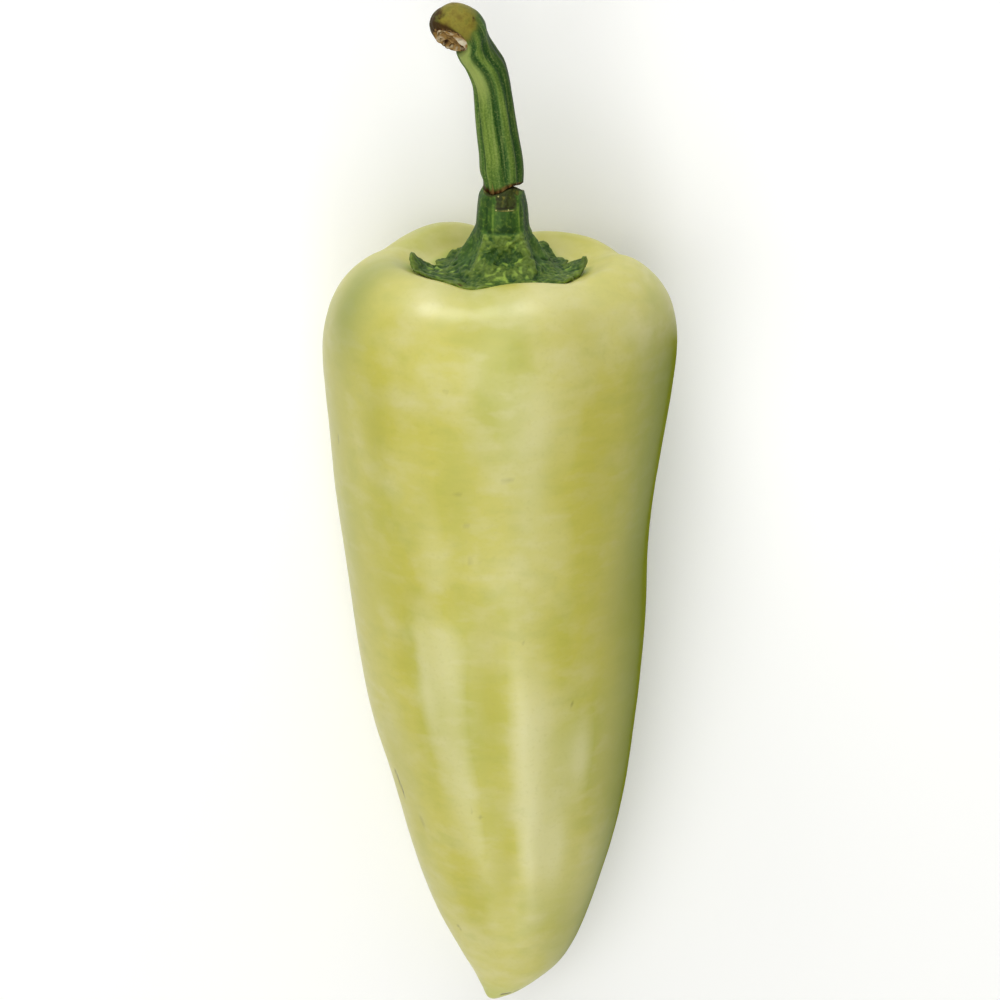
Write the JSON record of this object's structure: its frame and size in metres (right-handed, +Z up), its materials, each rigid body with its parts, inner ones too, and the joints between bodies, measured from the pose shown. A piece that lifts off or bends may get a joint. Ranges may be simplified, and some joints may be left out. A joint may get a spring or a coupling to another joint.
{
  "type": "caribe pepper",
  "caption": "Pale conical chilli pepper lying on its side, with blunt lobed shoulders, a flared green calyx and a bent, snapped stalk.",
  "frame": {"origin": "on the surface that the pepper lies on, under the middle of its whole length and width", "axes": "+Z up, +Y along the pepper from the tip to the stalk, +X across it, to the right of the picture"},
  "size_m": [0.0414, 0.1242, 0.0389],
  "materials": {
    "skin": "waxy pale yellow-green pepper skin with soft mottling",
    "calyx": "dull green, crumpled and faintly fibrous",
    "stalk": "ribbed green stalk, darker in its furrows, brown and torn at its end"
  },
  "bodies": {
    "root": {"fruit": "skin", "calyx": "calyx", "stem": "stalk"}
  },
  "joints": []
}
